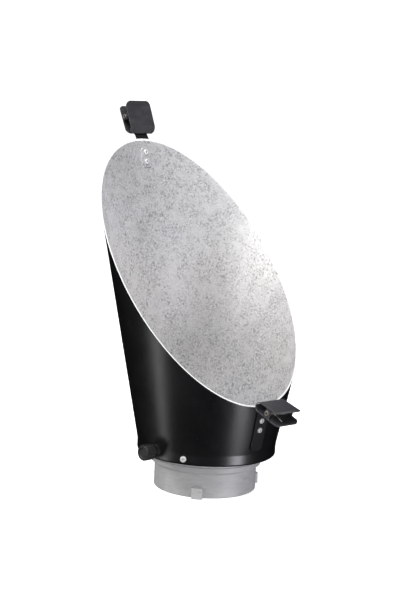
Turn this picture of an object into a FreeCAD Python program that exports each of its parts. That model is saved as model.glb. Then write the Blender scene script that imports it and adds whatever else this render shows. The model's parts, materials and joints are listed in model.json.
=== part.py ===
import FreeCAD, Part
import math
import os
import Sketcher

# Background reflector with a rotating three-lug bayonet mount.
# Frame: millimetres, +Z up along the reflector's axis, origin at the centre of
# the mount ring's bottom annulus.  The mouth is cut obliquely: the short side
# of the cone is at -Y, the tall side at +Y.

doc = FreeCAD.newDocument("background_reflector")
sheet = doc.addObject("Spreadsheet::Sheet", "Sizes")
row = [0]


class Dim:
    """A number together with the spreadsheet expression that it comes from."""

    def __init__(self, value, text):
        self.value = float(value)
        self.text = text

    def _other(self, o):
        return o if isinstance(o, Dim) else Dim(o, repr(float(o)))

    def __add__(self, o):
        o = self._other(o)
        return Dim(self.value + o.value, "(%s + %s)" % (self.text, o.text))

    def __radd__(self, o):
        return self._other(o) + self

    def __sub__(self, o):
        o = self._other(o)
        return Dim(self.value - o.value, "(%s - %s)" % (self.text, o.text))

    def __rsub__(self, o):
        return self._other(o) - self

    def __mul__(self, o):
        o = self._other(o)
        return Dim(self.value * o.value, "(%s * %s)" % (self.text, o.text))

    def __rmul__(self, o):
        return self._other(o) * self

    def __truediv__(self, o):
        o = self._other(o)
        return Dim(self.value / o.value, "(%s / %s)" % (self.text, o.text))

    def __rtruediv__(self, o):
        return self._other(o) / self

    def __neg__(self):
        return Dim(-self.value, "(0 - %s)" % self.text)


def cell(alias, value):
    """Put a plain number in the sheet under an alias and return it as a Dim."""
    row[0] += 1
    sheet.set("A%d" % row[0], alias)
    sheet.set("B%d" % row[0], str(value))
    sheet.setAlias("B%d" % row[0], alias)
    return Dim(value, "Sizes." + alias)


def cosd(a):
    return Dim(math.cos(math.radians(a.value)), "cos(%s * 1 deg)" % a.text)


def sind(a):
    return Dim(math.sin(math.radians(a.value)), "sin(%s * 1 deg)" % a.text)


def num(d):
    return d.value if isinstance(d, Dim) else float(d)


# ---------------------------------------------------------------- sizes
# mount ring (cast aluminium)
ring_outer = cell("ring_outer_radius", 49.0)
ring_bore = cell("ring_bore_radius", 45.3)
ring_round = cell("ring_bottom_round", 1.2)
flare_start = cell("flare_start_height", 21.6)
flare_size = cell("flare_radius", 3.6)
rim_top = cell("flare_rim_top_height", 29.6)
flare_top = cell("flare_top_height", 33.6)
drum_outer = cell("drum_radius", 60.2)
drum_inner = cell("drum_inner_radius", 54.5)
drum_top = cell("drum_top_height", 47.6)
groove_floor = cell("groove_floor_radius", 57.2)
groove_low = cell("groove_low_height", 38.4)
groove_high = cell("groove_high_height", 45.6)
guide_height = cell("guide_screw_height", 40.7)
lock_height = cell("lock_height", 43.6)
drum_web = cell("drum_web_inner_radius", 50.0)
drum_web_top = cell("drum_web_top_height", 38.0)
lug_reach = cell("lug_outer_radius", 54.2)
lug_width = cell("lug_width", 10.4)
lug_height = cell("lug_height", 10.4)
lug_count = cell("lug_count", 3)
lug_first = cell("lug_first_angle", -137.8)

# sheet-metal reflector
sheet_gauge = cell("reflector_sheet", 1.2)
band_outer = cell("band_radius", 66.56)
band_bottom = cell("band_bottom_height", 35.0)
band_corner = cell("band_corner_radius", 2.0)
band_top = cell("band_top_height", 45.0)
band_lip = cell("band_lip_inner_radius", 62.0)
cone_slope = cell("cone_slope", 0.2)
cone_top = cell("cone_blank_height", 332.0)
cut_height = cell("mouth_height_on_axis", 181.83)
cut_slope = cell("mouth_slope", 1.168)

# collar, guide screws and lock
collar_inner = cell("collar_inner_radius", 60.5)
collar_top = cell("collar_top_height", 48.6)
guide_first = cell("guide_first_angle", -148.4)
guide_shank = cell("guide_shank_radius", 2.0)
guide_tip = cell("guide_tip_radius", 1.9)
guide_end = cell("guide_tip_reach", 57.6)
guide_head = cell("guide_head_radius", 2.9)
guide_head_thick = cell("guide_head_height", 2.0)
lock_angle = cell("lock_angle", -175.0)
bush_outer = cell("bush_radius", 6.3)
bush_neck = cell("bush_neck_radius", 4.0)
bush_bore = cell("bush_bore_radius", 2.55)
bush_face = cell("bush_face_reach", 70.2)
knob_grip = cell("knob_radius", 7.5)
knob_inner = cell("knob_inner_reach", 70.7)
knob_face = cell("knob_face_reach", 83.6)
knob_flutes = cell("knob_flute_count", 14)
stud_radius = cell("stud_radius", 2.5)
stud_start = cell("stud_inner_reach", 62.6)
stud_end = cell("stud_outer_reach", 80.5)
pad_nose = cell("pad_nose_radius", 1.6)
pad_body = cell("pad_body_radius", 2.45)
pad_tip = cell("pad_tip_reach", 57.6)
pad_step = cell("pad_step_reach", 60.9)
pad_back = cell("pad_back_reach", 62.5)

# brackets, rivets and backing plates
strap_width = cell("bracket_width", 14.0)
strap_gauge = cell("bracket_thickness", 1.5)
rivet_shank = cell("rivet_shank_radius", 1.6)
rivet_dome = cell("rivet_dome_radius", 2.6)
rivet_dome_height = cell("rivet_dome_height", 1.3)
rivet_mandrel = cell("rivet_mandrel_radius", 0.8)
rivet_tail = cell("rivet_tail_radius", 2.3)
rivet_tail_height = cell("rivet_tail_height", 0.9)
backing_width = cell("backing_plate_width", 11.0)
backing_length = cell("backing_plate_length", 19.0)
backing_gauge = cell("backing_plate_thickness", 0.8)

# spring clips
clip_width = cell("clip_moving_plate_width", 29.5)
clip_fixed_width = cell("clip_fixed_plate_width", 30.6)
clip_gauge = cell("clip_plate_thickness", 0.9)
jaw_u = cell("clip_jaw_reach", 18.0)
jaw_v = cell("clip_jaw_gap_half", 0.25)
heel_u = cell("clip_jaw_bend_reach", 12.8)
heel_v = cell("clip_jaw_bend_offset", 3.88)
toe_u = cell("clip_lever_bend_reach", 9.6)
toe_v = cell("clip_lever_bend_offset", 4.7)
tip_u = cell("clip_lever_tip_reach", 14.2)
tip_v = cell("clip_lever_tip_offset", 6.1)
clip_corner = cell("clip_corner_radius", 5.5)
clip_jaw_corner = cell("clip_jaw_corner_radius", 3.0)
ear_half = cell("clip_ear_half_width", 3.2)
ear_root = cell("clip_ear_root_offset", 4.8)
pin_radius = cell("clip_pin_radius", 1.6)
pin_hollow = cell("clip_pin_hollow_radius", 1.0)
pin_flange = cell("clip_pin_flange_radius", 2.5)
pin_flange_thick = cell("clip_pin_flange_thickness", 1.4)
pin_clear = cell("clip_pin_running_clearance", 0.05)
wire_radius = cell("spring_wire_radius", 0.55)
coil_radius = cell("spring_coil_radius", 2.5)
coil_pitch = cell("spring_coil_pitch", 1.25)
coil_turns = cell("spring_whole_turns", 7)
leg_tilt = cell("spring_leg_tilt", 8.0)
leg_length = cell("spring_leg_length", 11.0)
clip_rivet_u = cell("clip_rivet_reach", 7.4)

doc.recompute()

cone_base = band_outer - cone_slope * band_top          # cone radius extrapolated to z = 0
cone_wall = sheet_gauge * math.sqrt(1.0 + cone_slope.value ** 2)


def cone_r(z):
    """Outer radius of the cone at height z."""
    return cone_base + cone_slope * z


# ---------------------------------------------------------------- helpers
ROLE = {"XY": "XY_Plane", "XZ": "XZ_Plane", "YZ": "YZ_Plane"}


def new_body(label, placement=None):
    body = doc.addObject("PartDesign::Body", label)
    body.Label = label
    if placement is not None:
        body.Placement = placement
    return body


def new_sketch(body, name, plane, lift=None):
    sk = body.newObject("Sketcher::SketchObject", name)
    for f in body.Origin.OriginFeatures:
        if f.Role == ROLE[plane]:
            sk.AttachmentSupport = (f, [""])
    sk.MapMode = "FlatFace"
    if lift is not None:
        sk.AttachmentOffset = FreeCAD.Placement(FreeCAD.Vector(0, 0, num(lift)), FreeCAD.Rotation())
        if isinstance(lift, Dim):
            sk.setExpression(".AttachmentOffset.Base.z", lift.text)
    return sk


def pin_point(sk, geo, pos, x, y, only=""):
    """Fix a sketch point at (x, y) from the sketch origin, bound to the sheet."""
    for kind, axis, val in (("DistanceX", -2, x), ("DistanceY", -1, y)):
        if only and only != kind:
            continue
        if abs(num(val)) < 1e-9:
            sk.addConstraint(Sketcher.Constraint("PointOnObject", geo, pos, axis))
        else:
            idx = sk.addConstraint(Sketcher.Constraint(kind, -1, 1, geo, pos, num(val)))
            if isinstance(val, Dim):
                sk.setExpression("Constraints[%d]" % idx, val.text)


def outline(sk, pts):
    """Closed outline.  Each entry is (x, y) or (x, y, (cx, cy), ccw): the edge
    leaving that vertex is then an arc about (cx, cy)."""
    n = len(pts)
    ends = []
    for i in range(n):
        a, b = pts[i], pts[(i + 1) % n]
        ax, ay, bx, by = num(a[0]), num(a[1]), num(b[0]), num(b[1])
        if len(a) == 2:
            g = sk.addGeometry(Part.LineSegment(FreeCAD.Vector(ax, ay, 0), FreeCAD.Vector(bx, by, 0)), False)
            ends.append((g, 1, 2, False))
        else:
            cx, cy = num(a[2][0]), num(a[2][1])
            rad = math.hypot(ax - cx, ay - cy)
            t0, t1 = math.atan2(ay - cy, ax - cx), math.atan2(by - cy, bx - cx)
            if not a[3]:
                t0, t1 = t1, t0
            if t1 < t0:
                t1 += 2 * math.pi
            g = sk.addGeometry(Part.ArcOfCircle(Part.Circle(FreeCAD.Vector(cx, cy, 0), FreeCAD.Vector(0, 0, 1), rad), t0, t1), False)
            ends.append((g, 1, 2, True) if a[3] else (g, 2, 1, True))
    for i in range(n):
        g, s, e, arc = ends[i]
        h = ends[(i + 1) % n]
        sk.addConstraint(Sketcher.Constraint("Coincident", g, e, h[0], h[1]))
    for i in range(n):
        before = pts[i - 1]
        only = ""
        if len(before) == 4:
            # the end of an arc keeps one freedom: fix it along the arc
            cx, cy = num(before[2][0]), num(before[2][1])
            across = abs(num(pts[i][0]) - cx) > abs(num(pts[i][1]) - cy)
            only = "DistanceY" if across else "DistanceX"
            pin_point(sk, ends[i - 1][0], 3, before[2][0], before[2][1])
        pin_point(sk, ends[i][0], ends[i][1], pts[i][0], pts[i][1], only)


def symmetric(feature):
    if "SideType" in feature.PropertiesList:
        feature.SideType = "Symmetric"
    else:
        feature.Midplane = True


def bind(obj, prop, dim):
    setattr(obj, prop, num(dim))
    if isinstance(dim, Dim):
        obj.setExpression(prop, dim.text)


def revolve(body, name, pts, plane="XZ", angle=360.0):
    """Solid of revolution about the body's Z axis from an (r, z) outline."""
    sk = new_sketch(body, name + "_sketch", plane)
    outline(sk, pts)
    rev = body.newObject("PartDesign::Revolution", name)
    rev.Profile = sk
    rev.ReferenceAxis = (sk, ["V_Axis"])
    rev.Angle = num(angle)
    if num(angle) < 360:
        symmetric(rev)
        if isinstance(angle, Dim):
            rev.setExpression("Angle", angle.text)
    sk.Visibility = False
    doc.recompute()
    return rev


def pad(body, name, sk, length, sym=False, reverse=False):
    p = body.newObject("PartDesign::Pad", name)
    p.Profile = sk
    bind(p, "Length", length)
    if sym:
        symmetric(p)
    p.Reversed = reverse
    sk.Visibility = False
    doc.recompute()
    return p


def through_hole(body, name, radius, start, direction, length):
    """Cylindrical hole from a start point along a direction."""
    before = body.Shape.Volume
    c = body.newObject("PartDesign::SubtractiveCylinder", name)
    bind(c, "Radius", radius)
    c.Height = num(length)
    c.Placement = FreeCAD.Placement(start, FreeCAD.Rotation(FreeCAD.Vector(0, 0, 1), direction))
    doc.recompute()
    if not body.Shape.Volume < before - 1e-3:
        raise RuntimeError("hole %s cuts nothing" % name)
    return c


def fillet(body, name, base, radius, chosen):
    """Fillet the edges of the last feature for which chosen(edge) is true."""
    names = ["Edge%d" % (i + 1) for i, e in enumerate(base.Shape.Edges) if chosen(e)]
    if not names:
        raise RuntimeError("no edge for fillet " + name)
    f = body.newObject("PartDesign::Fillet", name)
    f.Base = (base, names)
    bind(f, "Radius", radius)
    doc.recompute()
    if "Invalid" in f.State or f.Shape.isNull() or not f.Shape.isValid():
        raise RuntimeError("fillet %s failed" % name)
    return f


def radial(angle, height):
    """Placement with local Z along the outward radius, local Y up, origin on the
    reflector's axis at the given height."""
    a = math.radians(num(angle))
    out = FreeCAD.Vector(math.cos(a), math.sin(a), 0)
    up = FreeCAD.Vector(0, 0, 1)
    return FreeCAD.Placement(FreeCAD.Vector(0, 0, num(height)), FreeCAD.Rotation(up.cross(out), up, out, "ZXY"))


def turn_z(deg):
    return FreeCAD.Placement(FreeCAD.Vector(0, 0, 0), FreeCAD.Rotation(FreeCAD.Vector(0, 0, 1), deg))


def round_corners(body, name, half, end, radius, sy):
    """Round the two corners of a sheet at y = end by cutting away the waste."""
    sk = new_sketch(body, name + "_sketch", "XY")
    for sx in (1, -1):
        outline(sk, [
            (sx * (half - radius), end),
            (sx * (half - radius), end + sy * 2.0),
            (sx * (half + 2.0), end + sy * 2.0),
            (sx * (half + 2.0), end - sy * radius),
            (sx * half, end - sy * radius, (sx * (half - radius), end - sy * radius), sx * sy > 0),
        ])
    before = body.Shape.Volume
    p = body.newObject("PartDesign::Pocket", name)
    p.Profile = sk
    p.Length = 60.0
    symmetric(p)
    sk.Visibility = False
    doc.recompute()
    if not body.Shape.Volume < before - 1e-3:
        raise RuntimeError("corner cut %s removes nothing" % name)
    return p


parts = []


def keep(obj, label):
    obj.Label = label
    parts.append(obj)
    return obj


V = FreeCAD.Vector
origin = V(0, 0, 0)

# ---------------------------------------------------------------- mount ring
# Cast ring: a plain spigot that enters the light, with three lugs, and a
# concave flare under the reflector's band.
ring = new_body("mount_ring")
revolve(ring, "ring_casting", [
    (ring_bore, 0.0),
    (ring_outer - ring_round, 0.0, (ring_outer - ring_round, ring_round), True),
    (ring_outer, ring_round),
    (ring_outer, flare_start, (ring_outer + flare_size, flare_start), False),
    (ring_outer + flare_size, flare_start + flare_size),
    (ring_outer + flare_size + 0.2, flare_start + flare_size + 0.2),
    (ring_outer + flare_size + 0.2, rim_top),
    (ring_outer + flare_size - 0.6, rim_top + 0.7),
    (ring_outer + flare_size - 0.6, flare_top - 0.4),
    (ring_outer + flare_size - 1.0, flare_top),
    (drum_web, flare_top),
    (ring_bore, 29.5),
])
lug_sketch = new_sketch(ring, "lug_sketch", "XY")
outline(lug_sketch, [
    (ring_outer - 1.5, -lug_width / 2),
    (lug_reach, -lug_width / 2),
    (lug_reach, lug_width / 2),
    (ring_outer - 1.5, lug_width / 2),
])
lug = pad(ring, "lug", lug_sketch, lug_height)


def pattern(body, name, feature, count, axis):
    """Repeat a feature evenly about an axis and make the pattern the body's tip."""
    before = body.Shape.Volume
    p = body.newObject("PartDesign::PolarPattern", name)
    p.Originals = [feature]
    p.Axis = axis
    p.Angle = 360.0
    p.Occurrences = int(count.value)
    p.setExpression("Occurrences", count.text)
    body.Tip = p
    doc.recompute()
    if abs(body.Shape.Volume - before) < 1e-3:
        raise RuntimeError("pattern %s adds nothing" % name)
    return p


def reach(edge):
    """Smallest distance of an edge's ends from the Z axis."""
    return min(math.hypot(v.X, v.Y) for v in edge.Vertexes)


lugs = pattern(ring, "lugs", lug, lug_count, (lug_sketch, ["N_Axis"]))
lug_side = fillet(ring, "lug_round", lugs, 1.6, lambda e: (
    len(e.Vertexes) == 2 and reach(e) > lug_reach.value - 0.1 and e.BoundBox.ZLength > 5
    and e.BoundBox.ZMax < lug_height.value + 0.1))
fillet(ring, "lug_edge_round", lug_side, 0.6, lambda e: (
    len(e.Vertexes) == 2 and reach(e) > ring_outer.value + 1.0 and e.BoundBox.ZLength < 0.01
    and abs(e.BoundBox.ZMin - lug_height.value) < 0.01))
ring.Placement = turn_z(lug_first.value)
keep(ring, "mount_ring")

# ---------------------------------------------------------------- swivel drum
# Turned ring fixed on top of the flare.  It turns inside the reflector's
# collar, and its groove takes the guide screws and the lock pad.
drum = new_body("swivel_drum")
revolve(drum, "drum_turned", [
    (drum_web, flare_top),
    (drum_outer - 0.5, flare_top),
    (drum_outer, flare_top + 0.5),
    (drum_outer, groove_low),
    (groove_floor, groove_low),
    (groove_floor, groove_high),
    (drum_outer, groove_high),
    (drum_outer, drum_top - 0.8),
    (drum_outer - 0.8, drum_top),
    (drum_inner, drum_top),
    (drum_inner, drum_web_top),
    (drum_web, drum_web_top),
])
keep(drum, "swivel_drum")

# ---------------------------------------------------------------- reflector shell
# One sheet of metal: an upright band with a rolled-in lip, then a cone whose
# mouth is cut by a plane tilted about X.
shell = new_body("reflector_shell")
revolve(shell, "shell_blank", [
    (band_lip, band_bottom),
    (band_outer - band_corner, band_bottom, (band_outer - band_corner, band_bottom + band_corner), True),
    (band_outer, band_bottom + band_corner),
    (band_outer, band_top),
    (cone_r(cone_top), cone_top),
    (cone_r(cone_top) - cone_wall, cone_top),
    (band_outer - sheet_gauge, band_top),
    (band_outer - sheet_gauge, band_bottom + sheet_gauge),
    (band_lip, band_bottom + sheet_gauge),
])
mouth = new_sketch(shell, "mouth_sketch", "YZ")
outline(mouth, [
    (-150.0, cut_height - 150.0 * cut_slope),
    (170.0, cut_height + 170.0 * cut_slope),
    (170.0, 480.0),
    (-150.0, 480.0),
])
blank_volume = shell.Shape.Volume
cut = shell.newObject("PartDesign::Pocket", "mouth_cut")
cut.Profile = mouth
cut.Length = 400.0
symmetric(cut)
doc.recompute()
if not shell.Shape.Volume < blank_volume * 0.8:
    raise RuntimeError("the mouth cut removes too little")
for i in range(3):
    a = guide_first + 120.0 * i
    pl = radial(a, guide_height)
    through_hole(shell, "guide_hole_%d" % (i + 1), guide_shank, pl.multVec(V(0, 0, 58)), pl.Rotation.multVec(V(0, 0, 1)), 12)
pl = radial(lock_angle, lock_height)
through_hole(shell, "lock_hole", bush_neck, pl.multVec(V(0, 0, 58)), pl.Rotation.multVec(V(0, 0, 1)), 12)

# ---------------------------------------------------------------- collar
# Inner ring that stiffens the band and carries the screw threads.
collar = new_body("base_collar")
revolve(collar, "collar_ring", [
    (collar_inner, band_bottom + sheet_gauge),
    (band_outer - sheet_gauge, band_bottom + sheet_gauge),
    (band_outer - sheet_gauge, collar_top),
    (collar_inner + 0.6, collar_top),
    (collar_inner, collar_top - 0.6),
])
for i in range(3):
    a = guide_first + 120.0 * i
    pl = radial(a, guide_height)
    through_hole(collar, "collar_guide_hole_%d" % (i + 1), guide_shank, pl.multVec(V(0, 0, 58)), pl.Rotation.multVec(V(0, 0, 1)), 12)
pl = radial(lock_angle, lock_height)
through_hole(collar, "collar_lock_hole", bush_neck, pl.multVec(V(0, 0, 58)), pl.Rotation.multVec(V(0, 0, 1)), 12)
keep(collar, "base_collar")

# ---------------------------------------------------------------- guide screws
# Three pan-head screws whose plain tips run in the drum's groove.
screws = []
for i in range(3):
    b = new_body("guide_screw_%d" % (i + 1), radial(guide_first + 120.0 * i, guide_height))
    head_low = band_outer
    rv = revolve(b, "guide_turned_%d" % (i + 1), [
        (0.0, guide_end),
        (guide_tip - 0.4, guide_end),
        (guide_tip, guide_end + 0.4),
        (guide_tip, collar_inner + 0.2),
        (guide_shank, collar_inner + 0.5),
        (guide_shank, head_low),
        (guide_head, head_low),
        (guide_head, head_low + 1.0, (guide_head - 1.0, head_low + 1.0), True),
        (guide_head - 1.0, head_low + guide_head_thick),
        (0.0, head_low + guide_head_thick),
    ])
    before = b.Shape.Volume
    for k, (w, h) in enumerate(((3.0, 0.75), (0.75, 3.0))):
        c = b.newObject("PartDesign::SubtractiveBox", "recess_%d_%d" % (i + 1, k + 1))
        c.Length, c.Width, c.Height = w, h, 1.3
        c.Placement = FreeCAD.Placement(V(-w / 2, -h / 2, (head_low + guide_head_thick).value - 1.1), FreeCAD.Rotation())
        doc.recompute()
    if not b.Shape.Volume < before:
        raise RuntimeError("screw recess cuts nothing")
    screws.append(b)
group = doc.addObject("Part::Compound", "guide_screws")
group.Links = screws
keep(group, "guide_screws")

# ---------------------------------------------------------------- lock
# Flanged bush through band and collar, threaded knob, stud and loose pad.
lock_place = radial(lock_angle, lock_height)
bush_flange = doc.addObject("Part::Cylinder", "bush_flange")
bind(bush_flange, "Radius", bush_outer)
bind(bush_flange, "Height", bush_face - 60.0)
bush_flange.Placement = lock_place.multiply(FreeCAD.Placement(V(0, 0, 60), FreeCAD.Rotation()))
band_space = doc.addObject("Part::Cylinder", "band_space")
bind(band_space, "Radius", band_outer)
bind(band_space, "Height", band_top)
cone_space = doc.addObject("Part::Cone", "cone_space")
bind(cone_space, "Radius1", band_outer)
bind(cone_space, "Radius2", cone_r(band_top + 60.0))
cone_space.Height = 60.0
cone_space.Placement = FreeCAD.Placement(V(0, 0, band_top.value), FreeCAD.Rotation())
space = doc.addObject("Part::Fuse", "shell_space")
space.Base, space.Tool = band_space, cone_space
collar_face = doc.addObject("Part::Cut", "bush_shoulder")
collar_face.Base, collar_face.Tool = bush_flange, space
neck = doc.addObject("Part::Cylinder", "bush_neck")
bind(neck, "Radius", bush_neck)
bind(neck, "Height", bush_face - collar_inner - 0.3)
neck.Placement = lock_place.multiply(FreeCAD.Placement(V(0, 0, collar_inner.value + 0.3), FreeCAD.Rotation()))
bush_solid = doc.addObject("Part::Fuse", "bush_solid")
bush_solid.Base, bush_solid.Tool = collar_face, neck
bore = doc.addObject("Part::Cylinder", "bush_bore")
bind(bore, "Radius", bush_bore)
bore.Height = 30.0
bore.Placement = lock_place.multiply(FreeCAD.Placement(V(0, 0, 50), FreeCAD.Rotation()))
bush = doc.addObject("Part::Cut", "lock_bush")
bush.Base, bush.Tool = bush_solid, bore
doc.recompute()
keep(bush, "lock_bush")

knob = new_body("lock_knob", lock_place)
knob_turned = revolve(knob, "knob_turned", [
    (stud_radius, knob_inner),
    (5.4, knob_inner),
    (5.4, knob_inner + 2.0),
    (knob_grip - 0.8, knob_inner + 2.0),
    (knob_grip, knob_inner + 2.8),
    (knob_grip, knob_face - 1.2, (knob_grip - 1.2, knob_face - 1.2), True),
    (knob_grip - 1.2, knob_face),
    (knob_grip - 2.4, knob_face),
    (knob_grip - 3.2, knob_face - 0.7),
    (0.0, knob_face - 0.7),
    (0.0, stud_end),
    (stud_radius, stud_end),
])
flute = knob.newObject("PartDesign::SubtractiveCylinder", "flute")
flute.Radius = 0.95
flute.Height = 30.0
flute.Placement = FreeCAD.Placement(V(knob_grip.value + 0.25, 0, 65), FreeCAD.Rotation())
doc.recompute()
pattern(knob, "flutes", flute, knob_flutes, (doc.getObject("knob_turned_sketch"), ["V_Axis"]))
keep(knob, "lock_knob")

stud = new_body("lock_stud", lock_place)
revolve(stud, "stud_turned", [
    (0.0, stud_start),
    (stud_radius - 0.5, stud_start),
    (stud_radius, stud_start + 0.5),
    (stud_radius, stud_end),
    (0.0, stud_end),
])
keep(stud, "lock_stud")

press_pad = new_body("lock_pad", lock_place)
revolve(press_pad, "pad_turned", [
    (0.0, pad_tip),
    (pad_nose - 0.3, pad_tip),
    (pad_nose, pad_tip + 0.3),
    (pad_nose, pad_step),
    (pad_body, pad_step),
    (pad_body, pad_back),
    (0.0, pad_back),
])
keep(press_pad, "lock_pad")

# ---------------------------------------------------------------- clip stations
# Each station is laid out in a plane through the axis: w outward, z up.  It
# has a strap riveted to the cone, and a spring clip riveted to the strap.
cone_angle = math.degrees(math.atan(cone_slope.value))
stretch = math.sqrt(1.0 + cone_slope.value ** 2)


def station(prefix, turn, strap_foot, rivet_heights, heads_inside, pin_w, pin_z, tilt, bend_out, bend_in, strap_u, knee=None):
    """turn: rotation about Z of the station's plane; tilt: angle of the clip's
    centre line above the outward direction; knee: height at which the strap
    leaves the cone, where that is above the line of the clip's plate."""
    base = turn_z(turn)
    e1 = (math.cos(math.radians(tilt)), math.sin(math.radians(tilt)))
    e2 = (-e1[1], e1[0])
    clip_place = base.multiply(FreeCAD.Placement(V(0, pin_w, pin_z), FreeCAD.Rotation(V(1, 0, 0), tilt)))

    def wz(u, v):
        return (pin_w + u * e1[0] + v * e2[0], pin_z + u * e1[1] + v * e2[1])

    # --- moving and fixed plates: bent sheet with two ears each
    def plate(label, side, width, ear_outer):
        b = new_body(label, clip_place)
        sk = new_sketch(b, label + "_sketch", "YZ")
        low = [(-jaw_u, jaw_v), (-heel_u, heel_v), (toe_u, toe_v), (tip_u, tip_v)]
        high = [(tip_u, tip_v + clip_gauge), (toe_u, toe_v + clip_gauge), (-heel_u, heel_v + clip_gauge), (-jaw_u, jaw_v + clip_gauge)]
        pts = low + high
        if side < 0:
            pts = [(u, -v) for u, v in pts]
        outline(sk, pts)
        p = pad(b, label + "_sheet", sk, width, sym=True)
        for k, x0 in enumerate((ear_outer - 0.8, -ear_outer)):
            es = new_sketch(b, "%s_ear_%d_sketch" % (label, k + 1), "YZ", x0)
            outline(es, [
                (ear_half, 0.0),
                (ear_half, ear_root * side),
                (-ear_half, ear_root * side),
                (-ear_half, 0.0, (0.0, 0.0), side > 0),
            ])
            last = pad(b, "%s_ear_%d" % (label, k + 1), es, 0.8)
        hw = width / 2
        round_corners(b, label + "_lever_corners", hw, tip_u, clip_corner, 1)
        round_corners(b, label + "_jaw_corners", hw, -jaw_u, clip_jaw_corner, -1)
        return b

    moving = plate(prefix + "_clip_moving_plate", 1, clip_width, 14.15)
    through_hole(moving, prefix + "_moving_pin_hole", pin_radius + pin_clear, V(-20, 0, 0), V(1, 0, 0), 40)
    fixed = plate(prefix + "_clip_fixed_plate", -1, clip_fixed_width, 15.3)
    through_hole(fixed, prefix + "_fixed_pin_hole", pin_radius, V(-20, 0, 0), V(1, 0, 0), 40)

    # line of the fixed plate's outer face, and its normal (away from the clip)
    q0 = wz(-heel_u.value, -(heel_v.value + clip_gauge.value))
    q1 = wz(toe_u.value, -(toe_v.value + clip_gauge.value))
    length = math.hypot(q1[0] - q0[0], q1[1] - q0[1])
    d = ((q1[0] - q0[0]) / length, (q1[1] - q0[1]) / length)
    nrm = (d[1], -d[0])

    def on_plate(u, off):
        t = u + heel_u.value
        return (q0[0] + d[0] * t + nrm[0] * off, q0[1] + d[1] * t + nrm[1] * off)

    rivet_at = on_plate(-clip_rivet_u.value, 0)
    rivet_dir = base.Rotation.multVec(V(0, nrm[0], nrm[1]))
    rivet_pos = base.multVec(V(0, rivet_at[0], rivet_at[1]))
    back = clip_place.inverse()
    through_hole(fixed, prefix + "_fixed_rivet_hole", rivet_shank, back.multVec(rivet_pos - rivet_dir * 6),
                 back.Rotation.multVec(rivet_dir), 12)
    keep(moving, prefix + "_clip_moving_plate")
    keep(fixed, prefix + "_clip_fixed_plate")

    # --- hollow pin with rolled eyelet ends
    pin = new_body(prefix + "_clip_pin", clip_place.multiply(FreeCAD.Placement(origin, FreeCAD.Rotation(V(0, 1, 0), 90))))
    face = clip_fixed_width / 2
    prof = [
        (pin_hollow, face * -1.0 - pin_flange_thick + 0.1),
        (pin_hollow + 0.5, face * -1.0 - pin_flange_thick),
        (pin_flange - 0.3, face * -1.0 - pin_flange_thick),
        (pin_flange, face * -1.0 - pin_flange_thick + 0.3),
        (pin_flange, face * -1.0),
        (pin_radius, face * -1.0),
        (pin_radius, face),
        (pin_flange, face),
        (pin_flange, face + pin_flange_thick - 0.3),
        (pin_flange - 0.3, face + pin_flange_thick),
        (pin_hollow + 0.5, face + pin_flange_thick),
        (pin_hollow, face + pin_flange_thick - 0.1),
    ]
    revolve(pin, prefix + "_pin_turned", prof)
    keep(pin, prefix + "_clip_pin")

    # --- torsion spring: coil about the pin, one leg along each plate
    turns = coil_turns.value + (262.0 - 98.0 + 2 * (8.0 - leg_tilt.value)) / 360.0
    span = turns * coil_pitch.value
    x0 = -span / 2
    a0 = math.radians(90.0 + leg_tilt.value)
    a1 = a0 + 2 * math.pi * turns
    cr, wr = coil_radius.value, wire_radius.value
    helix = Part.makeHelix(coil_pitch.value, span, cr)
    place = FreeCAD.Placement(V(x0, 0, 0), FreeCAD.Rotation(V(0, 1, 0), V(0, 0, 1), V(1, 0, 0), "ZXY"))
    spin = FreeCAD.Placement(origin, FreeCAD.Rotation(V(0, 0, 1), math.degrees(a0)))
    section = Part.Wire([Part.makeCircle(wr, V(cr, 0, 0), V(0, 1, 0))])
    coil = Part.Wire(helix.Edges).makePipeShell([section], True, True)
    coil.Placement = place.multiply(spin)
    solids = coil
    for x, a, sign in ((x0, a0, 1), (x0 + span, a1, -1)):
        start = V(x, cr * math.cos(a), cr * math.sin(a))
        t = math.radians(leg_tilt.value)
        leg_dir = V(0, math.cos(t), sign * math.sin(t))
        solids = solids.fuse([Part.makeCylinder(wr, leg_length.value, start, leg_dir), Part.makeSphere(wr, start)])
    spring = doc.addObject("Part::Feature", prefix + "_clip_spring")
    spring.Shape = solids.removeSplitter()
    spring.Placement = clip_place
    keep(spring, prefix + "_clip_spring")

    # --- strap: along the cone, then bent to lie under the fixed plate
    g = math.radians(cone_angle)
    tb = strap_gauge.value
    k = d[0] / d[1]

    def meet(off):
        """Corner of the two faces of the strap at a distance off from the cone and plate."""
        a = cone_base.value + off * stretch
        w0, z0 = q0[0] + nrm[0] * off, q0[1] + nrm[1] * off
        z = (w0 - z0 * k - a) / (cone_slope.value - k)
        return (a + cone_slope.value * z, z)

    foot = (cone_r(strap_foot).value, strap_foot)
    end = on_plate(strap_u, 0)
    if knee:
        path = [foot, (cone_r(knee).value, knee), wz(-jaw_u.value, -(jaw_v.value + clip_gauge.value)), q0, end]
    else:
        path = [foot, meet(0), end]

    def beside(p, q, off):
        """The line through p and q moved by off to the strap's outer side."""
        run = math.hypot(q[0] - p[0], q[1] - p[1])
        n0, n1 = (q[1] - p[1]) / run * off, -(q[0] - p[0]) / run * off
        return (p[0] + n0, p[1] + n1), (q[0] + n0, q[1] + n1)

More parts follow.
